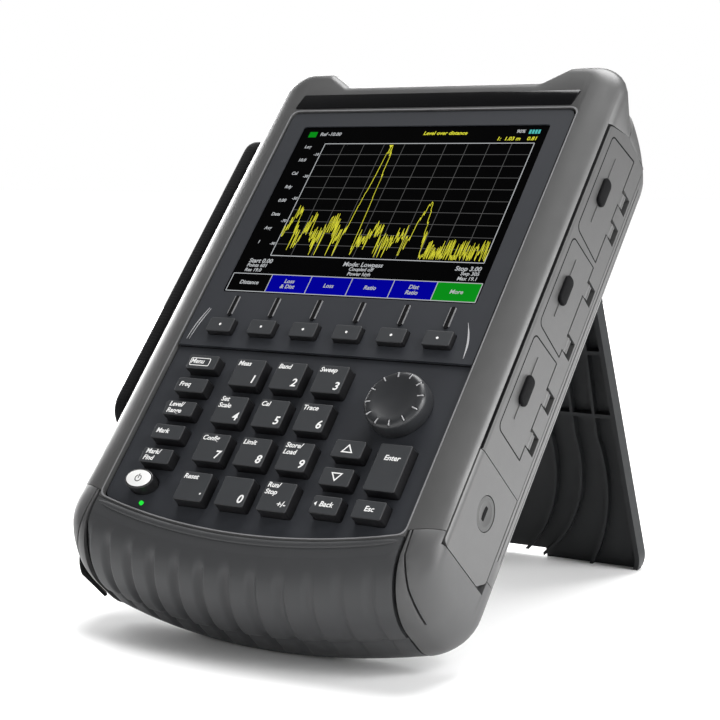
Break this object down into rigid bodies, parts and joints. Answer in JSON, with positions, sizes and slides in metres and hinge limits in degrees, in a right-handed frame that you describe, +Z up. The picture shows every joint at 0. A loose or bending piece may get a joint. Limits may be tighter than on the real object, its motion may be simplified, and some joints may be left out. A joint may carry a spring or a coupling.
{
  "type": "vector network analyzer",
  "caption": "Handheld vector network analyzer with display, keypad, tuning knob, side port doors, hand strap and a fold-out rear stand, standing tilted back.",
  "frame": {"origin": "centre of the narrow resting flat under the grip boot", "axes": "+X to the instrument's right as seen from the front, -Y towards the viewer, +Z up from the table"},
  "size_m": [0.2021, 0.2553, 0.2468],
  "materials": {
    "housing_plastic": "textured grey moulding",
    "grip_rubber": "soft satin overmould",
    "steel": "machined",
    "panel_plastic": "dark blue-grey moulding",
    "screen_glass": "anti-glare display glass",
    "inner_metal": "bare sheet",
    "gloss_black": "glossy",
    "led_green": "lit",
    "circuit_board": "solder resist",
    "panel_metal": "anodised",
    "strap_fabric": "woven nylon",
    "battery_plastic": "moulded",
    "stand_plastic": "fine textured moulding",
    "key_rubber": "silicone keypad",
    "power_white": "white cap"
  },
  "bodies": {
    "root": {"corner_bumpers": "housing_plastic", "display_module": "inner_metal", "display_window": "screen_glass", "door_hinge_pins": "steel", "front_housing": "housing_plastic", "front_panel": "panel_plastic", "grip_boot": "grip_rubber", "hand_strap": "strap_fabric", "housing_screws": "steel", "keypad_board": "circuit_board", "knob_encoder": "inner_metal", "main_board": "circuit_board", "name_strip": "gloss_black", "rear_cover": "housing_plastic", "rf_connectors": "steel", "rf_module": "inner_metal", "side_port_frame": "housing_plastic", "side_sockets": "inner_metal", "stand_hinge_pin": "steel", "status_led": "led_green", "strap_anchors": "panel_plastic", "strap_webbing": "strap_fabric", "top_panel": "panel_metal"},
    "tuning_knob": {"tuning_knob": "panel_plastic"},
    "port_door_upper": {"port_door_upper": "housing_plastic"},
    "port_door_middle": {"port_door_middle": "housing_plastic"},
    "port_door_lower": {"port_door_lower": "housing_plastic"},
    "battery_pack": {"battery_pack": "battery_plastic"},
    "battery_door": {"battery_door": "housing_plastic"},
    "battery_door_latch": {"battery_door_latch": "housing_plastic"},
    "stand": {"stand": "stand_plastic"},
    "softkey_1": {"softkey_1": "key_rubber"},
    "softkey_2": {"softkey_2": "key_rubber"},
    "softkey_3": {"softkey_3": "key_rubber"},
    "softkey_4": {"softkey_4": "key_rubber"},
    "softkey_5": {"softkey_5": "key_rubber"},
    "softkey_6": {"softkey_6": "key_rubber"},
    "function_key_1": {"function_key_1": "key_rubber"},
    "function_key_2": {"function_key_2": "key_rubber"},
    "function_key_3": {"function_key_3": "key_rubber"},
    "function_key_4": {"function_key_4": "key_rubber"},
    "function_key_5": {"function_key_5": "key_rubber"},
    "number_key_1": {"number_key_1": "key_rubber"},
    "number_key_2": {"number_key_2": "key_rubber"},
    "number_key_3": {"number_key_3": "key_rubber"},
    "number_key_4": {"number_key_4": "key_rubber"},
    "number_key_5": {"number_key_5": "key_rubber"},
    "number_key_6": {"number_key_6": "key_rubber"},
    "number_key_7": {"number_key_7": "key_rubber"},
    "number_key_8": {"number_key_8": "key_rubber"},
    "number_key_9": {"number_key_9": "key_rubber"},
    "number_key_point": {"number_key_point": "key_rubber"},
    "number_key_0": {"number_key_0": "key_rubber"},
    "number_key_sign": {"number_key_sign": "key_rubber"},
    "up_key": {"up_key": "key_rubber"},
    "down_key": {"down_key": "key_rubber"},
    "back_key": {"back_key": "key_rubber"},
    "escape_key": {"escape_key": "key_rubber"},
    "enter_key": {"enter_key": "key_rubber"},
    "power_key": {"power_key": "power_white"}
  },
  "joints": [
    {"name": "stand_hinge", "type": "hinge", "parent": "root", "child": "stand", "pos_m": [0, 0.16672, 0.17369], "axis": [1, 0, 0], "range_deg": [-58.5, 0]},
    {"name": "knob_spin", "type": "hinge", "parent": "root", "child": "tuning_knob", "pos_m": [0.0523, 0.02317, 0.10347], "axis": [0, -0.7513, 0.66], "continuous": true},
    {"name": "upper_door_hinge", "type": "hinge", "parent": "root", "child": "port_door_upper", "pos_m": [0.0919, 0.1402, 0.17835], "axis": [0, 0.66, 0.7513], "range_deg": [0, 110]},
    {"name": "middle_door_hinge", "type": "hinge", "parent": "root", "child": "port_door_middle", "pos_m": [0.0919, 0.10258, 0.13553], "axis": [0, 0.66, 0.7513], "range_deg": [0, 110]},
    {"name": "lower_door_hinge", "type": "hinge", "parent": "root", "child": "port_door_lower", "pos_m": [0.0919, 0.06827, 0.09646], "axis": [0, 0.66, 0.7513], "range_deg": [0, 110]},
    {"name": "battery_slide", "type": "slide", "parent": "root", "child": "battery_pack", "axis": [1, 0, 0], "range_m": [0, 0.145]},
    {"name": "battery_door_lift", "type": "slide", "parent": "root", "child": "battery_door", "axis": [1, 0, 0], "range_m": [0, 0.18]},
    {"name": "battery_latch_press", "type": "slide", "parent": "battery_door", "child": "battery_door_latch", "axis": [-1, 0, 0], "range_m": [0, 0.0008], "stiffness_N_per_m": 900, "springref_m": -0.0008},
    {"name": "softkey_1_press", "type": "slide", "parent": "root", "child": "softkey_1", "axis": [0, 0.7513, -0.66], "range_m": [0, 0.001], "stiffness_N_per_m": 800, "springref_m": -0.0008},
    {"name": "softkey_2_press", "type": "slide", "parent": "root", "child": "softkey_2", "axis": [0, 0.7513, -0.66], "range_m": [0, 0.001], "stiffness_N_per_m": 800, "springref_m": -0.0008},
    {"name": "softkey_3_press", "type": "slide", "parent": "root", "child": "softkey_3", "axis": [0, 0.7513, -0.66], "range_m": [0, 0.001], "stiffness_N_per_m": 800, "springref_m": -0.0008},
    {"name": "softkey_4_press", "type": "slide", "parent": "root", "child": "softkey_4", "axis": [0, 0.7513, -0.66], "range_m": [0, 0.001], "stiffness_N_per_m": 800, "springref_m": -0.0008},
    {"name": "softkey_5_press", "type": "slide", "parent": "root", "child": "softkey_5", "axis": [0, 0.7513, -0.66], "range_m": [0, 0.001], "stiffness_N_per_m": 800, "springref_m": -0.0008},
    {"name": "softkey_6_press", "type": "slide", "parent": "root", "child": "softkey_6", "axis": [0, 0.7513, -0.66], "range_m": [0, 0.001], "stiffness_N_per_m": 800, "springref_m": -0.0008},
    {"name": "function_key_1_press", "type": "slide", "parent": "root", "child": "function_key_1", "axis": [0, 0.7513, -0.66], "range_m": [0, 0.001], "stiffness_N_per_m": 800, "springref_m": -0.0008},
    {"name": "function_key_2_press", "type": "slide", "parent": "root", "child": "function_key_2", "axis": [0, 0.7513, -0.66], "range_m": [0, 0.001], "stiffness_N_per_m": 800, "springref_m": -0.0008},
    {"name": "function_key_3_press", "type": "slide", "parent": "root", "child": "function_key_3", "axis": [0, 0.7513, -0.66], "range_m": [0, 0.001], "stiffness_N_per_m": 800, "springref_m": -0.0008},
    {"name": "function_key_4_press", "type": "slide", "parent": "root", "child": "function_key_4", "axis": [0, 0.7513, -0.66], "range_m": [0, 0.001], "stiffness_N_per_m": 800, "springref_m": -0.0008},
    {"name": "function_key_5_press", "type": "slide", "parent": "root", "child": "function_key_5", "axis": [0, 0.7513, -0.66], "range_m": [0, 0.001], "stiffness_N_per_m": 800, "springref_m": -0.0008},
    {"name": "number_key_1_press", "type": "slide", "parent": "root", "child": "number_key_1", "axis": [0, 0.7513, -0.66], "range_m": [0, 0.001], "stiffness_N_per_m": 800, "springref_m": -0.0008},
    {"name": "number_key_2_press", "type": "slide", "parent": "root", "child": "number_key_2", "axis": [0, 0.7513, -0.66], "range_m": [0, 0.001], "stiffness_N_per_m": 800, "springref_m": -0.0008},
    {"name": "number_key_3_press", "type": "slide", "parent": "root", "child": "number_key_3", "axis": [0, 0.7513, -0.66], "range_m": [0, 0.001], "stiffness_N_per_m": 800, "springref_m": -0.0008},
    {"name": "number_key_4_press", "type": "slide", "parent": "root", "child": "number_key_4", "axis": [0, 0.7513, -0.66], "range_m": [0, 0.001], "stiffness_N_per_m": 800, "springref_m": -0.0008},
    {"name": "number_key_5_press", "type": "slide", "parent": "root", "child": "number_key_5", "axis": [0, 0.7513, -0.66], "range_m": [0, 0.001], "stiffness_N_per_m": 800, "springref_m": -0.0008},
    {"name": "number_key_6_press", "type": "slide", "parent": "root", "child": "number_key_6", "axis": [0, 0.7513, -0.66], "range_m": [0, 0.001], "stiffness_N_per_m": 800, "springref_m": -0.0008},
    {"name": "number_key_7_press", "type": "slide", "parent": "root", "child": "number_key_7", "axis": [0, 0.7513, -0.66], "range_m": [0, 0.001], "stiffness_N_per_m": 800, "springref_m": -0.0008},
    {"name": "number_key_8_press", "type": "slide", "parent": "root", "child": "number_key_8", "axis": [0, 0.7513, -0.66], "range_m": [0, 0.001], "stiffness_N_per_m": 800, "springref_m": -0.0008},
    {"name": "number_key_9_press", "type": "slide", "parent": "root", "child": "number_key_9", "axis": [0, 0.7513, -0.66], "range_m": [0, 0.001], "stiffness_N_per_m": 800, "springref_m": -0.0008},
    {"name": "number_key_point_press", "type": "slide", "parent": "root", "child": "number_key_point", "axis": [0, 0.7513, -0.66], "range_m": [0, 0.001], "stiffness_N_per_m": 800, "springref_m": -0.0008},
    {"name": "number_key_0_press", "type": "slide", "parent": "root", "child": "number_key_0", "axis": [0, 0.7513, -0.66], "range_m": [0, 0.001], "stiffness_N_per_m": 800, "springref_m": -0.0008},
    {"name": "number_key_sign_press", "type": "slide", "parent": "root", "child": "number_key_sign", "axis": [0, 0.7513, -0.66], "range_m": [0, 0.001], "stiffness_N_per_m": 800, "springref_m": -0.0008},
    {"name": "up_key_press", "type": "slide", "parent": "root", "child": "up_key", "axis": [0, 0.7513, -0.66], "range_m": [0, 0.001], "stiffness_N_per_m": 800, "springref_m": -0.0008},
    {"name": "down_key_press", "type": "slide", "parent": "root", "child": "down_key", "axis": [0, 0.7513, -0.66], "range_m": [0, 0.001], "stiffness_N_per_m": 800, "springref_m": -0.0008},
    {"name": "back_key_press", "type": "slide", "parent": "root", "child": "back_key", "axis": [0, 0.7513, -0.66], "range_m": [0, 0.001], "stiffness_N_per_m": 800, "springref_m": -0.0008},
    {"name": "escape_key_press", "type": "slide", "parent": "root", "child": "escape_key", "axis": [0, 0.7513, -0.66], "range_m": [0, 0.001], "stiffness_N_per_m": 800, "springref_m": -0.0008},
    {"name": "enter_key_press", "type": "slide", "parent": "root", "child": "enter_key", "axis": [0, 0.7513, -0.66], "range_m": [0, 0.001], "stiffness_N_per_m": 800, "springref_m": -0.0008},
    {"name": "power_key_press", "type": "slide", "parent": "root", "child": "power_key", "axis": [0, 0.7513, -0.66], "range_m": [0, 0.001], "stiffness_N_per_m": 800, "springref_m": -0.0008}
  ],
  "couplings": [
    {"joint": "battery_door_lift", "follows": "battery_slide", "ratio": 1.2}
  ]
}
